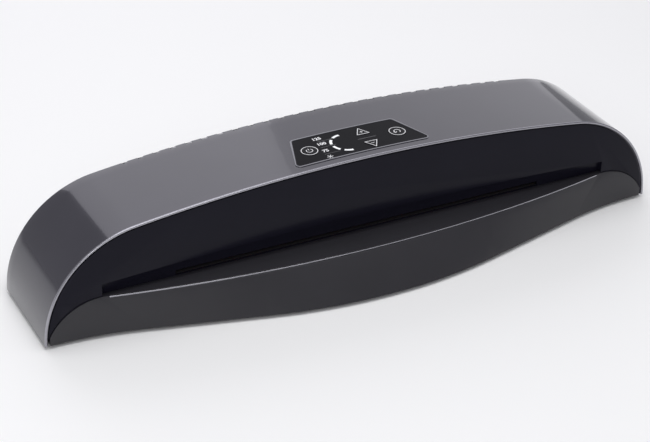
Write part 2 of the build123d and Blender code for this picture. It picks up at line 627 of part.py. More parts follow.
# ---- side frames and what they carry -------------------------------------------------------------
FRAME_FRONT = BAND_FRONT + 9.0
FRAME_REAR = BAND_REAR - 1.0
FLANGE_WIDTH = 12.0
TAB_HALF = 6.0
TAB_WIDTH = 6.0
BAR_WALL = 2.0
BAR_TOP = SPRING_TOP + BAR_WALL
SHIELD_WALL = 0.8
TIE_RADIUS = 2.5
TIE_PLACES = (
    (FRONT_ROLLER - ROLLER_RADIUS - 0.5, UPPER_AXIS + ROLLER_RADIUS - 0.2),
    (REAR_ROLLER + ROLLER_RADIUS - 0.7, UPPER_AXIS + ROLLER_RADIUS + 0.2),
    (FRONT_ROLLER - ROLLER_RADIUS + 0.5, PAN_TOP + 5.5),
    (REAR_ROLLER + ROLLER_RADIUS - 1.5, PAN_TOP + 5.5),
)
SPACER_RADIUS = 2.8
BRACKET_SPACERS = (
    (FRONT_ROLLER, PAN_TOP + 3.2),
    (REAR_ROLLER, PAN_TOP + 3.2),
    (FRONT_ROLLER + 11.0, UPPER_AXIS + 11.3),
    (REAR_ROLLER - 11.0, UPPER_AXIS + 11.3),
)
AXLE_RADIUS = 2.5
ROLLER_YS = (FRONT_ROLLER, REAR_ROLLER)


def both_sides(make):
    """The same piece on the left and, mirrored, on the right."""
    right = make()
    return [mirror(right, about=Plane.YZ), right]


def side_frame():
    """Right-hand steel plate: round holes below, open slots above, a foot flange and a tab for the bar."""
    plate = box(FRAME_INNER, FRAME_OUTER, FRAME_FRONT, FRAME_REAR, PAN_TOP, SPRING_TOP)
    plate += box(FRAME_INNER - FLANGE_WIDTH, FRAME_INNER, FRAME_FRONT, FRAME_REAR,
                 PAN_TOP, PAN_TOP + FRAME_WALL)
    plate += box(FRAME_OUTER, FRAME_OUTER + TAB_WIDTH, IDLER_Y - TAB_HALF, IDLER_Y + TAB_HALF,
                 SPRING_TOP - FRAME_WALL, SPRING_TOP)
    reach = BLOCK_WIDTH / 2 + SLIDE_CLEARANCE
    for y in ROLLER_YS:
        plate -= rod_x(BUSH_RADIUS, FRAME_INNER - 1, FRAME_OUTER + 1, y, LOWER_AXIS)
        plate -= box(FRAME_INNER - 1, FRAME_OUTER + 1, y - reach, y + reach, BLOCK_BOTTOM, SPRING_TOP + 1)
    for y in sorted({y for _, y in FRAME_SCREWS}):
        plate -= rod_z(SCREW_RADIUS + SCREW_PLAY, PAN_TOP - 1, PAN_TOP + 5, FRAME_INNER - 6.0, y)
    plate -= rod_z(SCREW_RADIUS + SCREW_PLAY, SPRING_TOP - 5, SPRING_TOP + 1,
                   FRAME_OUTER + TAB_WIDTH / 2, IDLER_Y)
    return plate


def spring_bar():
    """Right-hand bar that closes the slots and holds the springs down."""
    bar = box(FRAME_INNER - 3, FRAME_OUTER + TAB_WIDTH, FRAME_FRONT, FRAME_REAR, SPRING_TOP, BAR_TOP)
    hole_x = FRAME_OUTER + TAB_WIDTH / 2
    return bar - rod_z(SCREW_RADIUS + SCREW_PLAY, SPRING_TOP - 1, BAR_TOP + 1, hole_x, IDLER_Y)


def bushes():
    """Flanged plain bushes of the lower rollers."""
    found = []
    for y in ROLLER_YS:
        sleeve = rod_x(BUSH_RADIUS, FRAME_INNER, FRAME_OUTER, y, LOWER_AXIS)
        sleeve += rod_x(BUSH_RADIUS + 1.5, FRAME_OUTER, FRAME_OUTER + BUSH_FLANGE, y, LOWER_AXIS)
        sleeve -= rod_x(JOURNAL_RADIUS + SHAFT_CLEARANCE, FRAME_INNER - 1, FRAME_OUTER + 5, y, LOWER_AXIS)
        found += [mirror(sleeve, about=Plane.YZ), sleeve]
    return found


def bearing_blocks(y):
    """Left and right floating blocks of an upper roller, grooved to slide on the frames' slots."""
    inner = FRAME_INNER - SLIDE_CLEARANCE
    outer = FRAME_OUTER + SLIDE_CLEARANCE
    half = BLOCK_WIDTH / 2
    block = box(inner - BLOCK_FLANGE, outer + BLOCK_FLANGE, y - half, y + half, BLOCK_BOTTOM, BLOCK_TOP)
    for x0, x1 in ((inner - BLOCK_FLANGE, inner), (outer, outer + BLOCK_FLANGE)):
        block += box(x0, x1, y - half - 2, y + half + 2, BLOCK_BOTTOM, BLOCK_TOP)
    block -= rod_x(JOURNAL_RADIUS + SHAFT_CLEARANCE, inner - 5, outer + 5, y, UPPER_AXIS)
    return [mirror(block, about=Plane.YZ), block]


def pressure_springs(y):
    """Left and right compression springs that press an upper roller down."""
    middle = (FRAME_INNER + FRAME_OUTER) / 2
    radius = SPRING_RADIUS - SPRING_WIRE / 2
    height = SPRING_LENGTH - SPRING_WIRE - 0.1
    path = Helix(pitch=height / SPRING_TURNS, height=height, radius=radius)
    section = Plane(origin=path @ 0, z_dir=path % 0) * Circle(SPRING_WIRE / 2)
    coil = Pos(middle, y, BLOCK_TOP + SPRING_WIRE / 2 + 0.05) * sweep(section, path=path)
    return [mirror(coil, about=Plane.YZ), coil]


def roller_shaft(y, z):
    """Steel core with a journal at each end; the right journal carries the gear."""
    core = rod_x(CORE_RADIUS, -ROLLER_HALF_LENGTH - 2, ROLLER_HALF_LENGTH + 2, y, z)
    return core + rod_x(JOURNAL_RADIUS, -FRAME_OUTER - 6, GEAR_RIGHT, y, z)


def roller_sleeve(y, z):
    """Silicone sleeve of a roller."""
    tube = rod_x(ROLLER_RADIUS, -ROLLER_HALF_LENGTH, ROLLER_HALF_LENGTH, y, z)
    return tube - rod_x(CORE_RADIUS, -ROLLER_HALF_LENGTH - 1, ROLLER_HALF_LENGTH + 1, y, z)


# ---- gears ---------------------------------------------------------------------------------------
def mesh_phase(phase, teeth, other_teeth, direction):
    """Angle of a tooth of the second gear, so that it meets a gap of the first at the line of centres."""
    pitch = 2 * math.pi / teeth
    other_pitch = 2 * math.pi / other_teeth
    share = ((direction - phase) / pitch) % 1.0
    return direction + math.pi - (0.5 - share) * other_pitch


def gear(teeth, bore, y, z, phase):
    """Involute spur gear on the X axis; a tooth's middle lies at the phase angle from +Y towards +Z."""
    pitch_radius = MODULE * teeth / 2
    base = pitch_radius * math.cos(PRESSURE_ANGLE)
    tip = pitch_radius + MODULE
    root = pitch_radius - 1.25 * MODULE
    flare = math.tan(PRESSURE_ANGLE) - PRESSURE_ANGLE
    half_tooth = math.pi / (2 * teeth) - GEAR_BACKLASH / pitch_radius

    def flank(radius):
        """Half a tooth's angle at a radius."""
        if radius <= base:
            return half_tooth + flare
        angle = math.acos(base / radius)
        return half_tooth + flare - (math.tan(angle) - angle)

    def place(radius, angle):
        return (radius * math.cos(angle), radius * math.sin(angle), 0)

    start = max(base, root)
    middle = (start + tip) / 2
    edges = []
    for i in range(teeth):
        turn = phase + i * 2 * math.pi / teeth
        following = turn + 2 * math.pi / teeth
        low = [place(root, turn - flank(start)), place(root, turn + flank(start))]
        right = [place(radius, turn - flank(radius)) for radius in (start, middle, tip)]
        left = [place(radius, turn + flank(radius)) for radius in (tip, middle, start)]
        if start > root:
            edges.append(Line(low[0], right[0]))
        edges.append(ThreePointArc(*right))
        edges.append(Line(right[2], left[0]))
        edges.append(ThreePointArc(*left))
        if start > root:
            edges.append(Line(left[2], low[1]))
        gap_start = low[1] if start > root else left[2]
        gap_end = place(root if start > root else start, following - flank(start))
        edges.append(Line(gap_start, gap_end))
    blank = extrude(Face(Wire(edges)), amount=GEAR_WIDTH, dir=(0, 0, 1))
    wheel = Location(Plane(origin=(GEAR_LEFT, y, z), x_dir=(0, 1, 0), z_dir=(1, 0, 0))) * blank
    return wheel - rod_x(bore, GEAR_LEFT - 1, GEAR_RIGHT + 1, y, z)


PHASE_FRONT = 0.0
PHASE_IDLER = mesh_phase(PHASE_FRONT, ROLLER_TEETH, IDLER_TEETH, 0.0)
PHASE_REAR = mesh_phase(PHASE_IDLER, IDLER_TEETH, ROLLER_TEETH, 0.0)
PHASE_PINION = mesh_phase(PHASE_IDLER, IDLER_TEETH, PINION_TEETH, math.pi / 2)
PHASE_UPPER_FRONT = mesh_phase(PHASE_FRONT, ROLLER_TEETH, ROLLER_TEETH, math.pi / 2)
PHASE_UPPER_REAR = mesh_phase(PHASE_REAR, ROLLER_TEETH, ROLLER_TEETH, math.pi / 2)


# ---- drive ---------------------------------------------------------------------------------------
def motor_bracket():
    """Plate that holds the motor outside the gears."""
    plate = box(BRACKET_LEFT, BRACKET_LEFT + BRACKET_WALL, FRONT_ROLLER - 4, REAR_ROLLER + 4,
                PAN_TOP + 0.2, SPRING_TOP - 0.5)
    return plate - rod_x(MOTOR_SHAFT_RADIUS + 0.6, BRACKET_LEFT - 1, BRACKET_LEFT + 5, IDLER_Y, PINION_HEIGHT)


def bracket_spacers():
    """Round spacers between the right side frame and the motor bracket."""
    return [rod_x(SPACER_RADIUS, FRAME_OUTER, BRACKET_LEFT, y, z) for y, z in BRACKET_SPACERS]


def drive_motor():
    """Round synchronous motor with its reduction gear, on the bracket."""
    x0 = BRACKET_LEFT + BRACKET_WALL
    can = rod_x(MOTOR_RADIUS, x0, x0 + MOTOR_LENGTH, IDLER_Y, PINION_HEIGHT)
    can = fillet(can.edges().filter_by(GeomType.CIRCLE).sort_by(Axis.X)[-1:], 2.0)
    return can - rod_x(MOTOR_SHAFT_RADIUS + SHAFT_CLEARANCE, x0 - 1, x0 + 12, IDLER_Y, PINION_HEIGHT)


def motor_shaft():
    """Output shaft of the motor, into the pinion."""
    return rod_x(MOTOR_SHAFT_RADIUS, GEAR_LEFT, BRACKET_LEFT + BRACKET_WALL + 11, IDLER_Y, PINION_HEIGHT)


def idler_axle():
    """Fixed axle of the idler gear."""
    return rod_x(AXLE_RADIUS, FRAME_OUTER, GEAR_RIGHT + 1, IDLER_Y, LOWER_AXIS)


# ---- heaters, guides, shield ---------------------------------------------------------------------
def heater(side):
    """Aluminium heater plate above (1) or below (-1) the pouch's path."""
    near = NIP_HEIGHT + side * HEATER_GAP / 2
    far = near + side * HEATER_WALL
    return box(-FRAME_INNER, FRAME_INNER, IDLER_Y - HEATER_DEPTH / 2, IDLER_Y + HEATER_DEPTH / 2,
               min(near, far), max(near, far))


def insulation(side):
    """Insulating strip on the heater plate's outer face."""
    near = NIP_HEIGHT + side * (HEATER_GAP / 2 + HEATER_WALL)
    far = near + side * INSULATION_WALL
    return box(-ROLLER_HALF_LENGTH + 12, ROLLER_HALF_LENGTH - 12, IDLER_Y - HEATER_DEPTH / 2 + 1,
               IDLER_Y + HEATER_DEPTH / 2 - 1, min(near, far), max(near, far))


INSULATION_TOP = NIP_HEIGHT + HEATER_GAP / 2 + HEATER_WALL + INSULATION_WALL


THERMOSTAT_X = 42.0


def thermostat():
    """Round bimetal thermostat on the upper heater: a wide can with a narrow cap."""
    can = rod_z(7.5, INSULATION_TOP, INSULATION_TOP + 5, THERMOSTAT_X, IDLER_Y)
    return can + rod_z(3, INSULATION_TOP, INSULATION_TOP + 8, THERMOSTAT_X, IDLER_Y)


def thermal_fuse():
    """Thermal fuse lying on the upper heater, in its clip."""
    clip = box(-48, -36, IDLER_Y - 4, IDLER_Y + 4, INSULATION_TOP, INSULATION_TOP + 1)
    return clip + rod_x(2.0, -52, -32, IDLER_Y, INSULATION_TOP + 2.8)


def guides(y0, y1):
    """Lower and upper plates that lead the pouch, held between the side frames."""
    floor = SHELF_TOP
    top = floor + SLOT_HEIGHT
    return [box(-FRAME_INNER, FRAME_INNER, y0, y1, floor - GUIDE_WALL, floor),
            box(-FRAME_INNER, FRAME_INNER, y0, y1, top, top + GUIDE_WALL)]


def entry_guides():
    """Plates from the fascia's slot to the front rollers."""
    return guides(POCKET_BACK, FRONT_ROLLER - GUIDE_REACH)


def exit_guides():
    """Plates from the rear rollers to the exit slot."""
    return guides(REAR_ROLLER + GUIDE_REACH, REAR_FACE - WALL)


def entry_sensor():
    """Optical sensor under the entry guide."""
    floor = SHELF_TOP - GUIDE_WALL
    return box(-9, 9, POCKET_BACK + 0.3, FRONT_ROLLER - ROLLER_RADIUS - 1.0, floor - 5, floor)


def heat_shield():
    """Thin sheet over the rollers, on the spring bars."""
    edge = FRAME_OUTER + TAB_WIDTH
    sheet = box(-edge, edge, FRAME_FRONT, FRAME_REAR, BAR_TOP, BAR_TOP + SHIELD_WALL)
    for side in (-1, 1):
        sheet -= rod_z(SCREW_RADIUS + SCREW_PLAY, BAR_TOP - 1, BAR_TOP + 2,
                       side * (FRAME_OUTER + TAB_WIDTH / 2), IDLER_Y)
    return sheet


# ---- electrics -----------------------------------------------------------------------------------
POWER_BOTTOM = PAN_TOP + SPACER_HEIGHT
POWER_TOP = POWER_BOTTOM + BOARD_WALL


def power_board():
    """Mains board at the left end."""
    board = box(*POWER_BOARD_X, *POWER_BOARD_Y, POWER_BOTTOM, POWER_TOP)
    for x, y in POWER_SPACERS:
        board -= rod_z(SCREW_RADIUS + 0.1, POWER_BOTTOM - 1, POWER_TOP + 1, x, y)
    return board


def power_parts():
    """Transformer, capacitor and relay on the mains board."""
    x0 = POWER_BOARD_X[0]
    y1 = POWER_BOARD_Y[1]
    return [
        box(x0 + 32, x0 + 58, y1 - 22, y1 - 1, POWER_TOP, POWER_TOP + 22),
        rod_z(6.5, POWER_TOP, POWER_TOP + 20, x0 + 16, y1 - 10),
        box(x0 + 8, x0 + 20, y1 - 34, y1 - 20, POWER_TOP, POWER_TOP + 14),
    ]


def power_spacers():
    """Spacers that hold the mains board off the pan."""
    hole = (SCREW_RADIUS + SCREW_PLAY, PAN_TOP - 1, POWER_BOTTOM + 1)
    return [rod_z(3.2, PAN_TOP, POWER_BOTTOM, x, y) - rod_z(*hole, x, y)
            for x, y in POWER_SPACERS]


def ribbon_cable():
    """Flat cable from the control board over the shield and down to the mains board."""
    middle = POWER_BOARD_Y[0] + 7.0
    under = BOARD_TOP - BOARD_WALL - 0.6
    down = POWER_BOARD_X[1] - 12.0
    path = FilletPolyline((-40, middle, under), (-95, middle, under - 2), (down + 6, middle, 76),
                          (down, middle, POWER_TOP + 0.1), radius=8)
    section = Plane(origin=path @ 0, z_dir=path % 0, x_dir=(0, 1, 0)) * Rectangle(8, 0.9)
    return sweep(section, path=path)


def case_screws():
    """Screws that hold the pan to the cover's bosses, from below."""
    return [screw(x, y, CASE_BOTTOM, 12.0) for x, y in COVER_SCREWS]


def frame_screws():
    """Screws of the side frames: up through the pan, and down through shield, bar and tab."""
    found = [screw(x, y, CASE_BOTTOM, PAN_WALL + FRAME_WALL + 0.8) for x, y in FRAME_SCREWS]
    for side in (-1, 1):
        hole_x = side * (FRAME_OUTER + TAB_WIDTH / 2)
        found.append(screw(hole_x, IDLER_Y, BAR_TOP + SHIELD_WALL, 5.5, up=False))
    return found


def board_screws():
    """Screws of both boards."""
    found = [screw(x, y, BOARD_TOP - BOARD_WALL, 7.0) for x, y in BOARD_HOLES]
    found += [screw(x, y, POWER_TOP, 6.0, up=False) for x, y in POWER_SPACERS]
    return found


# ---- write every sub-part ------------------------------------------------------------------------
PIECES = {
    "top_cover": top_cover(),
    "front_trim": front_trim(),
    "front_fascia": front_fascia(),
    "front_apron": front_apron(),
    "lip_trim": lip_strip(0),
    "rear_cover": rear_cover(),
    "base_pan": base_pan(),
    "feet": feet(),
    "cord_gland": cord_gland(),
    "panel_frame": panel_frame(),
    "panel_overlay": panel_overlay(),
    "light_pipes": light_pipes(),
    "control_board": control_board(),
    "panel_switches": switches(),
    "lower_bushes": bushes(),
    "tie_rods": [rod_x(TIE_RADIUS, -FRAME_INNER, FRAME_INNER, y, z) for y, z in TIE_PLACES],
    "front_bearing_blocks": bearing_blocks(FRONT_ROLLER),
    "rear_bearing_blocks": bearing_blocks(REAR_ROLLER),
    "front_springs": pressure_springs(FRONT_ROLLER),
    "rear_springs": pressure_springs(REAR_ROLLER),
    "idler_gear": gear(IDLER_TEETH, AXLE_RADIUS + SHAFT_CLEARANCE, IDLER_Y, LOWER_AXIS, PHASE_IDLER),
    "idler_axle": idler_axle(),
    "drive_pinion": gear(PINION_TEETH, MOTOR_SHAFT_RADIUS, IDLER_Y, PINION_HEIGHT, PHASE_PINION),
    "motor_shaft": motor_shaft(),
    "drive_motor": drive_motor(),
    "motor_bracket": motor_bracket(),
    "bracket_spacers": bracket_spacers(),
    "upper_heater": heater(1),
    "lower_heater": heater(-1),
    "heater_insulation": [insulation(1), insulation(-1)],
    "thermal_cutouts": [thermostat(), thermal_fuse()],
    "entry_guides": entry_guides(),
    "exit_guides": exit_guides(),
    "entry_sensor": entry_sensor(),
    "heat_shield": heat_shield(),
    "power_board": power_board(),
    "power_parts": power_parts(),
    "board_spacers": power_spacers(),
    "ribbon_cable": ribbon_cable(),
    "case_screws": case_screws(),
    "inner_screws": frame_screws() + board_screws(),
    "spring_bars": both_sides(spring_bar),
}
for name, (x, y, kind) in BUTTON_PLACES.items():
    PIECES[name] = button(kind, x, y)
for side, frame in zip(("left", "right"), both_sides(side_frame)):
    PIECES[f"{side}_side_frame"] = frame
ROLLERS = {
    "front_lower": (FRONT_ROLLER, LOWER_AXIS, PHASE_FRONT),
    "front_upper": (FRONT_ROLLER, UPPER_AXIS, PHASE_UPPER_FRONT),
    "rear_lower": (REAR_ROLLER, LOWER_AXIS, PHASE_REAR),
    "rear_upper": (REAR_ROLLER, UPPER_AXIS, PHASE_UPPER_REAR),
}
for name, (y, z, phase) in ROLLERS.items():
    PIECES[f"{name}_shaft"] = roller_shaft(y, z)
    PIECES[f"{name}_sleeve"] = roller_sleeve(y, z)
    PIECES[f"{name}_gear"] = gear(ROLLER_TEETH, JOURNAL_RADIUS, y, z, phase)
for name, piece in PIECES.items():
    save(piece, name)
print(len(PIECES), "pieces")
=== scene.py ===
# %% [markdown]
# # A pouch laminator, built round its mechanical model
# The mechanical model gives every sub-part's place and how it moves. This file adds what the eye sees:
# smooth casing panels with soft edges, a printed control panel, studio light and a finish for each piece.
# All lengths are in metres, +X to the right, +Y to the rear, +Z up.

# %% Load the mechanical model
import bpy
import bmesh
import math
from mathutils import Matrix, Vector


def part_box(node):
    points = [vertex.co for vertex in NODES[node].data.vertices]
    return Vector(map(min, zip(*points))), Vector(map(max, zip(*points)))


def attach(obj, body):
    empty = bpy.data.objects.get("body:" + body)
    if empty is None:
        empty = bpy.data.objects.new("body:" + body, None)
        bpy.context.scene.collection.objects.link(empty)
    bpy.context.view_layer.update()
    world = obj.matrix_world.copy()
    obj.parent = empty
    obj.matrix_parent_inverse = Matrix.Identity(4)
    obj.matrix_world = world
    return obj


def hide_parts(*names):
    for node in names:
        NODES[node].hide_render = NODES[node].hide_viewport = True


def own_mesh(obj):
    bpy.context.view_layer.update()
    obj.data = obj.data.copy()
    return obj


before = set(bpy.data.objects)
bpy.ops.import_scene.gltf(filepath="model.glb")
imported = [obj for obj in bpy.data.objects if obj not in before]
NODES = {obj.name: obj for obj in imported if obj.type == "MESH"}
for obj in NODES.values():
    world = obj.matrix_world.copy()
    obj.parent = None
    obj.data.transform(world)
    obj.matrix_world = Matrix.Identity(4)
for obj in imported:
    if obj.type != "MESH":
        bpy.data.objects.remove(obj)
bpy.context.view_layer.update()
MM = 0.001

# %% [markdown]
# ## Sizes
# The casing is an arch: a shallow crown arc between two corner arcs. Its width, height and depth are read
# from the model's own boxes, so nothing here has to be fitted. Only the corner radius is repeated.

# %% Sizes read from the model
(CASE_LEFT, BAND_FRONT, CASE_BOTTOM), (CASE_RIGHT, _, CASE_TOP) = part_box("front_trim")
BAND_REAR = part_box("top_cover")[1][1]
HALF = CASE_RIGHT
HEIGHT = CASE_TOP - CASE_BOTTOM
CORNER = 85.5 * MM
CROWN = (HALF**2 - 2 * HALF * CORNER + HEIGHT**2) / (2 * (HEIGHT - CORNER))
CROWN_Z = CASE_TOP - CROWN
CORNER_X = HALF - CORNER
LEAN = math.asin(CORNER_X / (CROWN - CORNER))
print("crown radius", round(CROWN, 3), "band", round(BAND_FRONT, 4), round(BAND_REAR, 4))


def arch_point(angle, inset):
    """A point of the arch: angle is the outward normal's lean from upright, negative to the left."""
    if abs(angle) <= LEAN:
        return ((CROWN - inset) * math.sin(angle), CROWN_Z + (CROWN - inset) * math.cos(angle))
    side = math.copysign(CORNER_X, angle)
    return (side + (CORNER - inset) * math.sin(angle), CASE_BOTTOM + (CORNER - inset) * math.cos(angle))


def arch_angles(extra=()):
    """Angles along the arch, close together at the corners, with any extra crown positions."""
    corner = [LEAN + (math.pi / 2 - LEAN) * i / 60 for i in range(1, 61)]
    crown = [LEAN * (i / 60 * 2 - 1) for i in range(61)]
    more = [math.asin(x / CROWN) for x in extra]
    return sorted([-a for a in corner] + crown + more + corner)

# %% [markdown]
# ## Camera
# The machine is seen from its front left, a little from above, with a long lens so that it keeps its
# proportions. The camera's place comes from an angle, a height angle and a distance to a target.

# %% Camera
CAMERA_TURN = math.radians(-27.87)
CAMERA_RISE = math.radians(30.76)
CAMERA_ROLL = math.radians(-1.42)
CAMERA_DISTANCE = 1.460
CAMERA_LENS = 101.3
TARGET = Vector((-0.0144, (BAND_FRONT + BAND_REAR) / 2, CASE_BOTTOM + 0.0203))
back = Vector((math.sin(CAMERA_TURN) * math.cos(CAMERA_RISE),
               -math.cos(CAMERA_TURN) * math.cos(CAMERA_RISE), math.sin(CAMERA_RISE)))
level = Vector((0, 0, 1)).cross(back).normalized()
upright = back.cross(level)
right = math.cos(CAMERA_ROLL) * level - math.sin(CAMERA_ROLL) * upright
up = math.sin(CAMERA_ROLL) * level + math.cos(CAMERA_ROLL) * upright
camera = bpy.data.objects.new("camera", bpy.data.cameras.new("camera"))
camera.data.lens = CAMERA_LENS
camera.data.sensor_width = 36
camera.data.clip_end = 20
axes = Matrix((right, up, back)).transposed().to_4x4()
camera.matrix_world = Matrix.Translation(TARGET + back * CAMERA_DISTANCE) @ axes
bpy.context.scene.collection.objects.link(camera)
bpy.context.scene.camera = camera
print("camera at", [round(v, 3) for v in camera.matrix_world.translation])

# %% [markdown]
# ## Studio
# A glossy casing shows what stands round it more than its own colour. Two upright softboxes behind it draw
# the pale sheen along the crown, the left one brighter. The dim room beside them gives the dark left
# shoulder, and the pale floor lights the foot of the end walls. The overhead light fills from above.

# %% Floor, softboxes and room


def area_light(name, place, target, size, size_y, power, tint=(1, 1, 1)):
    """A rectangular softbox that points at a target."""
    lamp = bpy.data.lights.new(name, "AREA")
    lamp.shape = "RECTANGLE"
    lamp.size = size
    lamp.size_y = size_y
    lamp.energy = power
    lamp.color = tint
    holder = bpy.data.objects.new(name, lamp)
    holder.location = place
    holder.rotation_euler = (Vector(target) - Vector(place)).to_track_quat("-Z", "Y").to_euler()
    bpy.context.scene.collection.objects.link(holder)
    return holder


def plain_material(name, color, rough):
    """A one-colour finish for the studio only."""
    finish = bpy.data.materials.new(name)
    finish.use_nodes = True
    shader = finish.node_tree.nodes["Principled BSDF"]
    shader.inputs["Base Color"].default_value = (*color, 1)
    shader.inputs["Roughness"].default_value = rough
    return finish


floor_mesh = bpy.data.meshes.new("floor")
floor_mesh.from_pydata([(-6, -6, 0), (6, -6, 0), (6, 6, 0), (-6, 6, 0)], [], [(0, 1, 2, 3)])
floor = bpy.data.objects.new("floor", floor_mesh)
floor.data.materials.append(plain_material("floor", (0.93, 0.93, 0.93), 0.6))
bpy.context.scene.collection.objects.link(floor)

# the left edge of the first one draws the crisp line down the left shoulder
area_light("rear_softbox", (0.05, 1.60, 0.95), (0.05, 0.0, 0.60), 1.16, 1.90, 7.6, (0.96, 0.95, 1.0))
area_light("rear_softbox_dim", (1.20, 1.60, 0.95), (1.20, 0.0, 0.60), 1.14, 1.90, 4.2, (0.96, 0.95, 1.0))
area_light("overhead", (-0.1, -0.15, 1.7), (0, 0.0, 0), 1.4, 1.2, 15)
area_light("front_fill", (-1.1, -1.6, 1.3), (0, 0, 0.05), 0.9, 0.9, 10)
area_light("left_fill", (-2.2, 0.2, 0.9), (0, 0, 0.05), 0.8, 1.0, 1.5)
world = bpy.data.worlds.new("room")
world.use_nodes = True
world.node_tree.nodes["Background"].inputs["Color"].default_value = (0.95, 0.95, 1.0, 1)
world.node_tree.nodes["Background"].inputs["Strength"].default_value = 0.40
bpy.context.scene.world = world
bpy.context.scene.view_settings.view_transform = "Standard"

# %% [markdown]
# ## Effects that finishes share
# Two small node groups serve every finish. "Fine grain" gives a height for the bump and a roughness that
# varies a little, as on any moulded or machined surface. "Rubbed edges" finds the sharp edges by their
# pointiness, where paint thins and plastic polishes.

# %% Shader node groups


def new_group(name, inputs, outputs):
    """An empty shader node group with number inputs, given with their defaults, and typed outputs."""
    group = bpy.data.node_groups.new(name, "ShaderNodeTree")
    for label, value in inputs:
        socket = group.interface.new_socket(label, in_out="INPUT", socket_type="NodeSocketFloat")
        socket.default_value = value
    for label in outputs:
        group.interface.new_socket(label, in_out="OUTPUT", socket_type="NodeSocketFloat")
    return group, group.nodes.new("NodeGroupInput"), group.nodes.new("NodeGroupOutput")


def math_node(tree, operation, first, second):
    """A math node between two sockets or numbers."""
    node = tree.nodes.new("ShaderNodeMath")
    node.operation = operation
    for slot_index, value in enumerate((first, second)):
        if isinstance(value, bpy.types.NodeSocket):
            tree.links.new(value, node.inputs[slot_index])
        else:
            node.inputs[slot_index].default_value = value
    return node.outputs[0]


def build_grain():
    """Fine grain: noise at a chosen size, as a height, and as a roughness about a middle value."""
    group, entry, exit_node = new_group(
        "Fine grain", (("Scale", 900.0), ("Roughness", 0.4), ("Variation", 0.08)), ("Height", "Roughness"))
    place = group.nodes.new("ShaderNodeTexCoord")
    noise = group.nodes.new("ShaderNodeTexNoise")
    noise.inputs["Detail"].default_value = 3
    group.links.new(place.outputs["Object"], noise.inputs["Vector"])
    group.links.new(entry.outputs["Scale"], noise.inputs["Scale"])
    broad = group.nodes.new("ShaderNodeTexNoise")
    broad.inputs["Scale"].default_value = 14
    broad.inputs["Detail"].default_value = 4
    group.links.new(place.outputs["Object"], broad.inputs["Vector"])
    mixed = math_node(group, "ADD", noise.outputs["Fac"], broad.outputs["Fac"])
    offset = math_node(group, "SUBTRACT", mixed, 1.0)
    swing = math_node(group, "MULTIPLY", offset, entry.outputs["Variation"])
    rough = math_node(group, "ADD", swing, entry.outputs["Roughness"])
    group.links.new(noise.outputs["Fac"], exit_node.inputs["Height"])
    group.links.new(rough, exit_node.inputs["Roughness"])
    return group


def build_edges():
    """Rubbed edges: a mask, 1 on sharp convex edges and 0 on flats, broken up by noise."""
    group, entry, exit_node = new_group("Rubbed edges", (("Amount", 0.5),), ("Mask",))
    shape = group.nodes.new("ShaderNodeNewGeometry")
    noise = group.nodes.new("ShaderNodeTexNoise")
    noise.inputs["Scale"].default_value = 160
    sharp = math_node(group, "SUBTRACT", shape.outputs["Pointiness"], 0.52)
    strong = math_node(group, "MULTIPLY", sharp, 9.0)
    broken = math_node(group, "MULTIPLY", strong, noise.outputs["Fac"])
    clipped = group.nodes.new("ShaderNodeClamp")
    scaled = math_node(group, "MULTIPLY", broken, entry.outputs["Amount"])
    group.links.new(scaled, clipped.inputs["Value"])
    group.links.new(clipped.outputs["Result"], exit_node.inputs["Mask"])
    return group


GRAIN = build_grain()
EDGES = build_edges()
print("groups:", GRAIN.name, EDGES.name)

# %% [markdown]
# ## Finishes
# Every finish is one Principled shader fed by the two groups: a colour that shifts a little on rubbed
# edges, a roughness that is never quite even, and a bump of the right grain. What is the same all over the
# surface is set on the shader itself.

# %% Finish maker and the finishes


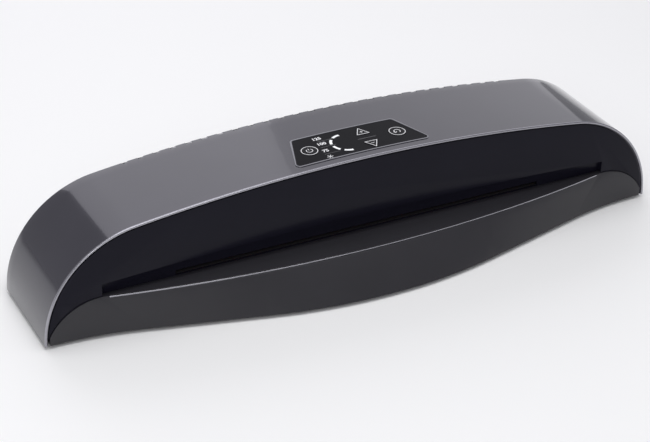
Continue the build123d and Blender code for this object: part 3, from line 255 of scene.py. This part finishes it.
def finish(name, color, rough, metallic=0.0, grain=900.0, bump=0.02, variation=0.08,
           edge=0.3, edge_color=None, coat=0.0, coat_rough=0.05, specular=0.5, mottle=0.06):
    """A finished material with grain, uneven roughness, faint mottling and rubbed edges."""
    made = bpy.data.materials.new(name)
    made.use_nodes = True
    tree = made.node_tree
    shader = tree.nodes["Principled BSDF"]
    shader.inputs["Metallic"].default_value = metallic
    shader.inputs["Coat Weight"].default_value = coat
    shader.inputs["Coat Roughness"].default_value = coat_rough
    shader.inputs["Specular IOR Level"].default_value = specular
    surface = tree.nodes.new("ShaderNodeGroup")
    surface.node_tree = GRAIN
    surface.inputs["Scale"].default_value = grain
    surface.inputs["Roughness"].default_value = rough
    surface.inputs["Variation"].default_value = variation
    tree.links.new(surface.outputs["Roughness"], shader.inputs["Roughness"])
    relief = tree.nodes.new("ShaderNodeBump")
    relief.inputs["Strength"].default_value = bump
    relief.inputs["Distance"].default_value = 0.0003
    tree.links.new(surface.outputs["Height"], relief.inputs["Height"])
    tree.links.new(relief.outputs["Normal"], shader.inputs["Normal"])
    place = tree.nodes.new("ShaderNodeTexCoord")
    clouds = tree.nodes.new("ShaderNodeTexNoise")
    clouds.inputs["Scale"].default_value = 22
    clouds.inputs["Detail"].default_value = 5
    tree.links.new(place.outputs["Object"], clouds.inputs["Vector"])
    ramp = tree.nodes.new("ShaderNodeValToRGB")
    ramp.color_ramp.elements[0].position = 0.3
    ramp.color_ramp.elements[1].position = 0.7
    ramp.color_ramp.elements[0].color = (*[c * (1 - mottle) for c in color], 1)
    ramp.color_ramp.elements[1].color = (*[min(1, c * (1 + mottle)) for c in color], 1)
    tree.links.new(clouds.outputs["Fac"], ramp.inputs["Fac"])
    rubbed = tree.nodes.new("ShaderNodeGroup")
    rubbed.node_tree = EDGES
    rubbed.inputs["Amount"].default_value = edge
    blend = tree.nodes.new("ShaderNodeMix")
    blend.data_type = "RGBA"
    blend.inputs["B"].default_value = (*(edge_color or [min(1, c * 1.6 + 0.01) for c in color]), 1)
    tree.links.new(rubbed.outputs["Mask"], blend.inputs["Factor"])
    tree.links.new(ramp.outputs["Color"], blend.inputs["A"])
    tree.links.new(blend.outputs["Result"], shader.inputs["Base Color"])
    return made


FINISHES = {
    "cover_grey": finish("cover_grey", (0.036, 0.034, 0.047), 0.13, 0.30, 1400, 0.004, 0.03, 0.2, coat=0.5,
                         coat_rough=0.03),
    "bright_trim": finish("bright_trim", (0.36, 0.355, 0.39), 0.24, 1.0, 1500, 0.01, 0.05, 0.1),
    "fascia_black": finish("fascia_black", (0.0070, 0.0066, 0.0125), 0.20, 0.0, 1500, 0.006, 0.04, 0.2,
                           specular=0.12),
    "apron_grey": finish("apron_grey", (0.018, 0.0172, 0.0215), 0.42, 0.0, 1600, 0.05, 0.06, 0.25),
    "case_black": finish("case_black", (0.018, 0.018, 0.020), 0.55, 0.0, 1300, 0.12, 0.08, 0.35),
    "overlay_black": finish("overlay_black", (0.009, 0.009, 0.011), 0.22, 0.0, 1500, 0.004, 0.03, 0.1,
                            specular=0.03),
    "key_black": finish("key_black", (0.009, 0.009, 0.011), 0.28, 0.0, 1500, 0.01, 0.04, 0.2, specular=0.05),
    "print_white": finish("print_white", (0.78, 0.78, 0.80), 0.5, 0.0, 2000, 0.02, 0.05, 0.0),
    "print_grey": finish("print_grey", (0.16, 0.16, 0.17), 0.5, 0.0, 2000, 0.02, 0.05, 0.0),
    "frame_chrome": finish("frame_chrome", (0.24, 0.24, 0.26), 0.30, 1.0, 1500, 0.01, 0.05, 0.1),
    "lamp_white": finish("lamp_white", (0.92, 0.93, 0.95), 0.35, 0.0, 1500, 0.01, 0.05, 0.0),
    "foot_rubber": finish("foot_rubber", (0.012, 0.012, 0.012), 0.8, 0.0, 800, 0.3, 0.08, 0.2),
    "silicone": finish("silicone", (0.40, 0.075, 0.045), 0.62, 0.0, 700, 0.12, 0.08, 0.1),
    "zinc_steel": finish("zinc_steel", (0.58, 0.58, 0.57), 0.34, 1.0, 500, 0.08, 0.15, 0.3),
    "ground_steel": finish("ground_steel", (0.62, 0.62, 0.63), 0.24, 1.0, 900, 0.06, 0.1, 0.2),
    "raw_aluminium": finish("raw_aluminium", (0.74, 0.75, 0.76), 0.36, 1.0, 600, 0.08, 0.12, 0.2),
    "nylon": finish("nylon", (0.72, 0.70, 0.62), 0.46, 0.0, 900, 0.04, 0.06, 0.1),
    "bronze": finish("bronze", (0.55, 0.36, 0.15), 0.42, 1.0, 1100, 0.1, 0.12, 0.2),
    "board_green": finish("board_green", (0.02, 0.11, 0.045), 0.36, 0.0, 500, 0.05, 0.08, 0.1, coat=0.2),
    "component": finish("component", (0.03, 0.03, 0.032), 0.5, 0.0, 900, 0.06, 0.08, 0.2),
    "glass_cloth": finish("glass_cloth", (0.68, 0.66, 0.58), 0.85, 0.0, 420, 0.6, 0.06, 0.0),
    "phenolic": finish("phenolic", (0.10, 0.055, 0.035), 0.5, 0.0, 800, 0.1, 0.08, 0.2),
    "motor_can": finish("motor_can", (0.42, 0.43, 0.44), 0.38, 0.9, 700, 0.05, 0.1, 0.3),
    "flat_cable": finish("flat_cable", (0.36, 0.37, 0.39), 0.5, 0.0, 700, 0.05, 0.06, 0.0),
}
print(len(FINISHES), "finishes")

# %% [markdown]
# ## Two ways to make a panel
# The arched panels are swept: a small profile across the wall, with its edges already rounded, is carried
# round the arch, so the gloss runs smoothly over crown and corners. Flat or simple parts start from the
# model's own solid: its flat faces are merged and every sharp edge gets a small radius, as moulds leave it.

# %% Makers for swept and for rounded pieces


def shade(piece, finish_name, body="casing", angle=30):
    """Smooth shading up to an angle, a finish and a body to ride on."""
    for face in piece.data.polygons:
        face.use_smooth = True
    piece.data.set_sharp_from_angle(angle=math.radians(angle))
    piece.data.materials.clear()
    piece.data.materials.append(FINISHES[finish_name])
    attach(piece, body)
    return piece


def new_piece(name, mesh):
    """A Blender object from a bmesh."""
    data = bpy.data.meshes.new(name)
    mesh.normal_update()
    mesh.to_mesh(data)
    mesh.free()
    piece = bpy.data.objects.new(name, data)
    bpy.context.scene.collection.objects.link(piece)
    return piece


def quarter(centre, radius, start, steps=4):
    """Points of a quarter circle that rounds a profile's corner, from a start angle in degrees."""
    return [(centre[0] + radius * math.cos(math.radians(start + 90 * i / steps)),
             centre[1] + radius * math.sin(math.radians(start + 90 * i / steps))) for i in range(steps + 1)]


def sweep_arch(profile, angles, shift=None):
    """Carries a closed profile of (depth, inset) points round the arch; shift may move points rearward."""
    mesh = bmesh.new()
    rings = []
    for angle in angles:
        ring = []
        for depth, inset in profile:
            x, z = arch_point(angle, inset)
            y = depth + (shift(x, depth) if shift else 0)
            ring.append(mesh.verts.new((x, y, z)))
        rings.append(ring)
    count = len(profile)
    for first, second in zip(rings, rings[1:]):
        for i in range(count):
            j = (i + 1) % count
            mesh.faces.new((first[i], first[j], second[j], second[i]))
    mesh.faces.new(list(reversed(rings[0])))
    mesh.faces.new(rings[-1])
    bmesh.ops.recalc_face_normals(mesh, faces=mesh.faces)
    return mesh


def rounded(node, finish_name, width=0.3, segments=3, body="casing", name=None, angle=32):
    """A copy of a CAD node with flat faces merged and its sharp edges rounded; it stands for the node."""
    mesh = bmesh.new()
    mesh.from_mesh(NODES[node].data)
    bmesh.ops.remove_doubles(mesh, verts=mesh.verts, dist=2e-6)
    bmesh.ops.dissolve_limit(mesh, angle_limit=math.radians(0.4), verts=mesh.verts, edges=mesh.edges)
    sharp = [e for e in mesh.edges if e.is_manifold and e.calc_face_angle(0) > math.radians(angle)]
    if sharp:
        bmesh.ops.bevel(mesh, geom=sharp, offset=width * MM, segments=segments, profile=0.5,
                        affect="EDGES", clamp_overlap=True)
    piece = new_piece(name or node + "_skin", mesh)
    shade(piece, finish_name, body)
    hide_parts(node)
    return piece


def cut(piece, cutters):
    """Takes cutter objects out of a piece and deletes the cutters."""
    for cutter in cutters:
        change = piece.modifiers.new("cut", "BOOLEAN")
        change.operation = "DIFFERENCE"
        change.solver = "EXACT"
        change.object = cutter
    bpy.context.view_layer.update()
    shaped = bpy.data.meshes.new_from_object(piece.evaluated_get(bpy.context.evaluated_depsgraph_get()))
    piece.modifiers.clear()
    piece.data = shaped
    for cutter in cutters:
        bpy.data.objects.remove(cutter)
    return piece

# %% [markdown]
# ## The arched cover
# One glossy moulding from the left foot over the crown to the right foot. Its rear edge carries a row of
# small vent notches. The wall's profile is swept round the arch; inside a notch, the rear end of that
# profile simply sits further forward, which gives clean steps without cutting anything.

# %% Cover with vents and a window for the panel
WALL = 2.5 * MM
TRIM_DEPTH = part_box("front_trim")[1][1] - BAND_FRONT
VENT_PITCH = 13.3 * MM
VENT_WIDTH = 5.6 * MM
VENT_DEPTH = 2.0 * MM
VENT_COUNT = 26
SOFT_EDGE = 1.6 * MM
VENTS = [(i - (VENT_COUNT - 1) / 2) * VENT_PITCH for i in range(VENT_COUNT)]


def vent_shift(x, depth):
    """How far a point of the rear edge moves forward inside a vent."""
    if depth < BAND_REAR - SOFT_EDGE - 0.3 * MM:
        return 0
    nearest = min(abs(x - vent) for vent in VENTS)
    return -VENT_DEPTH if nearest < VENT_WIDTH / 2 else 0


def panel_outline(grow, steps=5):
    """The control panel's plan: a trapezoid with rounded corners, grown by an amount."""
    low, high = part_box("panel_frame")
    front, rear = low[1] - grow, high[1] + grow
    front_half = high[0] + 1.3 * MM + grow
    rear_half = front_half - 14.0 * MM
    corners = [Vector((-front_half, front)), Vector((front_half, front)),
               Vector((rear_half, rear)), Vector((-rear_half, rear))]
    radius = 4.0 * MM + grow
    points = []
    for i, corner in enumerate(corners):
        before = (corners[i - 1] - corner).normalized()
        after = (corners[(i + 1) % 4] - corner).normalized()
        half_angle = before.angle(after) / 2
        reach = radius / math.tan(half_angle)
        centre = corner + (before + after).normalized() * radius / math.sin(half_angle)
        start = corner + before * reach - centre
        end = corner + after * reach - centre
        turn = start.angle_signed(end)
        for step in range(steps + 1):
            angle = -turn * step / steps
            spin = Matrix.Rotation(angle, 2)
            points.append(centre + spin @ start)
    return points


def prism(name, points, low, high):
    """An upright prism over a plan outline, used as a cutter."""
    mesh = bmesh.new()
    bottom = [mesh.verts.new((p[0], p[1], low)) for p in points]
    top = [mesh.verts.new((p[0], p[1], high)) for p in points]
    mesh.faces.new(list(reversed(bottom)))
    mesh.faces.new(top)
    for i in range(len(points)):
        j = (i + 1) % len(points)
        mesh.faces.new((bottom[i], bottom[j], top[j], top[i]))
    bmesh.ops.recalc_face_normals(mesh, faces=mesh.faces)
    return new_piece(name, mesh)


cover_front = BAND_FRONT + TRIM_DEPTH
cover_profile = [(cover_front, WALL), (cover_front, 0.0)]
cover_profile += [(cover_front + (BAND_REAR - SOFT_EDGE - cover_front) * i / 10, 0.0) for i in range(1, 10)]
cover_profile += [(y, -z) for y, z in reversed(quarter((BAND_REAR - SOFT_EDGE, -SOFT_EDGE), SOFT_EDGE, 0, 6))]
cover_profile += [(BAND_REAR, WALL)]
STEP_WIDTH = 2e-5    # half the width over which a notch's side rises
notch_edges = [vent + side * (VENT_WIDTH / 2 + step)
               for vent in VENTS for side in (-1, 1) for step in (-STEP_WIDTH, STEP_WIDTH)]
cover = new_piece("cover_shell", sweep_arch(cover_profile, arch_angles(notch_edges), vent_shift))
cut(cover, [prism("window", panel_outline(0.0), CASE_TOP - 8 * MM, CASE_TOP + 8 * MM)])
shade(cover, "cover_grey", angle=24)
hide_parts("top_cover")
print("cover faces:", len(cover.data.polygons))

# %% [markdown]
# ## Bright front edge
# A thin plated strip rounds the cover's front edge. It is a swept profile too, with a full nose in front,
# so that it always catches a line of light.

# %% Edge trim
TRIM_WIDTH = 1.8 * MM
nose = 0.7 * MM
NOSE_ANGLES = (0, 22, 45, 68, 90)
trim_profile = [(cover_front, 0.0), (cover_front, TRIM_WIDTH)]
for a in NOSE_ANGLES:
    across, along = nose * math.sin(math.radians(a)), nose * math.cos(math.radians(a))
    trim_profile.append((BAND_FRONT + nose - across, TRIM_WIDTH - nose + along))
for a in NOSE_ANGLES:
    across, along = nose * math.sin(math.radians(a)), nose * math.cos(math.radians(a))
    trim_profile.append((BAND_FRONT + nose - along, nose - across))
trim = new_piece("edge_trim", sweep_arch(trim_profile, arch_angles()))
shade(trim, "bright_trim", angle=50)
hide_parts("front_trim")

# %% [markdown]
# ## Fascia, apron and rear
# These keep the mechanical model's solid, with rounded edges. The fascia gets the narrowest radius because
# it is a hard glossy plate; the apron's is wider, like a soft satin moulding.

# %% Casing panels from their solids
fascia = rounded("front_fascia", "fascia_black", 0.35)
apron = rounded("front_apron", "apron_grey", 0.5)
lip = rounded("lip_trim", "bright_trim", 0.25)
rear = rounded("rear_cover", "case_black", 0.6)
pan = rounded("base_pan", "case_black", 0.3)
gland = rounded("cord_gland", "case_black", 0.5)
feet = rounded("feet", "foot_rubber", 0.6)
for piece in (fascia, apron, lip, rear, pan, gland, feet):
    print(piece.name, len(piece.data.polygons), "faces")

# %% [markdown]
# ## Pieces that keep their solid
# Shafts, gears, plates and boards are already the right shape in the mechanical model, so they only get a
# finish: ground steel, zinc plate, natural nylon, silicone, glass cloth.

# %% Finishes for the pieces that keep their solid
KEEP = {
    "frame_chrome": "panel_frame",
    "overlay_black": "panel_overlay",
    "key_black": "power_button reverse_button plus_button minus_button",
    "lamp_white": "light_pipes",
    "case_black": "entry_guides exit_guides",
    "board_green": "control_board power_board",
    "component": "panel_switches power_parts entry_sensor",
    "bronze": "lower_bushes",
    "zinc_steel": "left_side_frame right_side_frame tie_rods spring_bars motor_bracket bracket_spacers "
                  "idler_axle "
                  "motor_shaft inner_screws case_screws",
    "ground_steel": "front_lower_shaft front_upper_shaft rear_lower_shaft rear_upper_shaft",
    "silicone": "front_lower_sleeve front_upper_sleeve rear_lower_sleeve rear_upper_sleeve",
    "nylon": "front_lower_gear front_upper_gear rear_lower_gear rear_upper_gear idler_gear drive_pinion "
             "front_bearing_blocks rear_bearing_blocks board_spacers",
    "motor_can": "drive_motor",
    "raw_aluminium": "upper_heater lower_heater heat_shield",
    "glass_cloth": "heater_insulation",
    "phenolic": "thermal_cutouts",
    "flat_cable": "ribbon_cable",
}
for finish_name, names in KEEP.items():
    for node in names.split():
        NODES[node].data.materials.clear()
        NODES[node].data.materials.append(FINISHES[finish_name])

# %% [markdown]
# ## Pressure springs
# The pressure springs stand between the floating bearing blocks and the bars above them. A rigid coil would
# cut into a block that lifts; each pair here is still a rigid copy of its solid, riding on the casing.

# %% Pressure springs
for pair in ("front", "rear"):
    mesh = bmesh.new()
    mesh.from_mesh(NODES[pair + "_springs"].data)
    coils = shade(new_piece(pair + "_coils", mesh), "zinc_steel")
    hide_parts(pair + "_springs")
    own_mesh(coils)

# %% [markdown]
# ## Printed marks
# The panel carries white print: three temperatures, a snowflake for cold, rings, triangles and icons. A
# texture would blur up close, so every mark is a real layer of ink: its centre line is widened into a flat
# ribbon and laid on the surface below it by a ray cast. Marks on a button ride with the button.

# %% Print makers
INK = 0.04 * MM
LINE = 0.55 * MM


def ribbon(mesh, points, width=LINE, closed=False):
    """Widens a centre line, in the plan, into a flat strip of quads with mitred corners."""
    points = [Vector(p) for p in points]
    count = len(points)
    sides = []
    for i, point in enumerate(points):
        before = points[i - 1] if closed or i > 0 else None
        after = points[(i + 1) % count] if closed or i < count - 1 else None
        first = (point - before).normalized() if before else (after - point).normalized()
        second = (after - point).normalized() if after else first
        normal = Vector((-(first + second).y, (first + second).x)).normalized()
        reach = width / 2 / max(0.4, normal.dot(Vector((-first.y, first.x))))
        sides.append([mesh.verts.new((*(point + normal * reach * sign), 0)) for sign in (1, -1)])
    for i in range(count if closed else count - 1):
        a, b = sides[i], sides[(i + 1) % count]
        mesh.faces.new((a[0], a[1], b[1], b[0]))


def arc(x, y, radius, start=0.0, end=360.0, steps=40):
    """Points along an arc about (x, y), angles in degrees; a full circle leaves out its last point."""
    last = steps if abs(end - start) < 360 else steps - 1
    return [(x + radius * math.cos(math.radians(start + (end - start) * i / steps)),
             y + radius * math.sin(math.radians(start + (end - start) * i / steps))) for i in range(last + 1)]


def line(x0, y0, x1, y1, steps=6):
    """Points along a straight line, close enough together to follow the crown."""
    return [(x0 + (x1 - x0) * i / steps, y0 + (y1 - y0) * i / steps) for i in range(steps + 1)]


def letters(mesh, text, x, y, size):
    """Adds the flat outlines of a short text, centred on (x, y)."""
    curve = bpy.data.curves.new("text", "FONT")
    curve.body = text
    curve.size = size
    curve.align_x = "CENTER"
    curve.align_y = "CENTER"
    curve.resolution_u = 3
    curve.offset = 0.03 * size
    holder = bpy.data.objects.new("text", curve)
    bpy.context.scene.collection.objects.link(holder)
    bpy.context.view_layer.update()
    flat = bpy.data.meshes.new_from_object(holder.evaluated_get(bpy.context.evaluated_depsgraph_get()))
    flat.transform(Matrix.Translation((x, y, 0)))
    mesh.from_mesh(flat)
    bpy.data.objects.remove(holder)
    bpy.data.meshes.remove(flat)


def lay_ink(name, mesh, node, body, finish_name="print_white"):
    """Drops a flat mesh onto a node from above, gives it the thickness of ink and lets it ride."""
    surface = NODES[node]
    bmesh.ops.remove_doubles(mesh, verts=mesh.verts, dist=1e-7)
    flat_faces = list(mesh.faces)
    lower = list(mesh.verts)
    for vert in lower:
        hit, place, _, _ = surface.ray_cast((vert.co.x, vert.co.y, 1.0), (0, 0, -1))
        vert.co.z = place.z - 0.01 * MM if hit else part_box(node)[1][2]
    made = bmesh.ops.extrude_face_region(mesh, geom=flat_faces)["geom"]
    for vert in made:
        if isinstance(vert, bmesh.types.BMVert):
            vert.co.z += INK
    bmesh.ops.recalc_face_normals(mesh, faces=mesh.faces)
    piece = new_piece(name, mesh)
    return shade(piece, finish_name, body)


# %% [markdown]
# ## Where the marks go
# The marks take their places from the buttons' own boxes and meshes. The triangles are drawn inside each arrow
# button's top face, found as the vertices near its peak, because a flange below it is wider than the face.

# %% Marks on the panel and on the buttons
FACE_BAND = 0.4 * MM      # vertices this close under a button's peak belong to its top face


def middle(node):
    """The plan centre of a node."""
    low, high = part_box(node)
    return (low[0] + high[0]) / 2, (low[1] + high[1]) / 2


PANEL_Y = middle("power_button")[1]
LABELS = {"125": (-25.2, 14.4), "100": (-25.1, 5.7), "75": (-27.0, -5.2)}
labels = bmesh.new()
for text, (x, y) in LABELS.items():
    letters(labels, text, x * MM, PANEL_Y + y * MM, 5.2 * MM)
flake_x, flake_y = -28.0 * MM, PANEL_Y - 14.8 * MM
for turn in range(3):
    arm = Vector((math.cos(math.pi / 3 * turn), math.sin(math.pi / 3 * turn))) * 2.6 * MM
    ribbon(labels, [(flake_x - arm.x, flake_y - arm.y), (flake_x + arm.x, flake_y + arm.y)], 0.5 * MM)
lay_ink("temperature_print", labels, "panel_overlay", "casing")

dividers = bmesh.new()
for x, y in ((-23.0, 10.0), (-24.5, 0.5), (-26.0, -10.0)):
    ribbon(dividers, line((x - 4) * MM, PANEL_Y + y * MM, (x + 9) * MM, PANEL_Y + y * MM), 0.25 * MM)
arrow_x, plus_y = middle("plus_button")
minus_y = middle("minus_button")[1]
between = (plus_y + minus_y) / 2
ribbon(dividers, line(arrow_x - 8 * MM, between, arrow_x + 8 * MM, between), 0.35 * MM)
lay_ink("divider_print", dividers, "panel_overlay", "casing", "print_grey")

power_x, power_y = middle("power_button")
mark = bmesh.new()
ribbon(mark, arc(power_x, power_y, 6.4 * MM), LINE, closed=True)
ribbon(mark, arc(power_x, power_y, 2.5 * MM, 130, 410, 24), 0.5 * MM)
ribbon(mark, line(power_x, power_y + 0.6 * MM, power_x, power_y + 3.1 * MM, 2), 0.5 * MM)
lay_ink("power_print", mark, "power_button", "power_key")

reverse_x, reverse_y = middle("reverse_button")
mark = bmesh.new()
ribbon(mark, arc(reverse_x, reverse_y, 6.4 * MM), LINE, closed=True)
ribbon(mark, arc(reverse_x, reverse_y, 2.5 * MM, -60, 200, 24), 0.6 * MM)
tip = Vector((reverse_x - 2.35 * MM, reverse_y - 1.9 * MM))
ribbon(mark, [tip + Vector((-1.2, 1.6)) * MM, tip, tip + Vector((1.7, 1.0)) * MM], 0.6 * MM)
lay_ink("reverse_print", mark, "reverse_button", "reverse_key")

for name, sign in (("plus", 1), ("minus", -1)):
    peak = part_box(name + "_button")[1][2]
    face = [v.co for v in NODES[name + "_button"].data.vertices if v.co.z > peak - FACE_BAND]
    left, right = min(p.x for p in face), max(p.x for p in face)
    near, far = min(p.y for p in face), max(p.y for p in face)
    x = (left + right) / 2
    base = near if sign > 0 else far
    span = (right - left) / 2
    tall = (far - near) * sign
    inset = 0.7 * MM
    corners = [(x - span + inset * 1.2, base + sign * inset), (x, base + tall - sign * inset * 1.1),
               (x + span - inset * 1.2, base + sign * inset)]
    mark = bmesh.new()
    ribbon(mark, corners, LINE, closed=True)
    core = base + tall * 0.38
    ribbon(mark, line(x - 1.4 * MM, core, x + 1.4 * MM, core, 2), 0.5 * MM)
    if name == "plus":
        ribbon(mark, line(x, core - 1.4 * MM, x, core - 0.25 * MM, 2), 0.5 * MM)
        ribbon(mark, line(x, core + 0.25 * MM, x, core + 1.4 * MM, 2), 0.5 * MM)
    lay_ink(name + "_print", mark, name + "_button", name + "_key")
print("printed marks laid on the panel and four buttons")
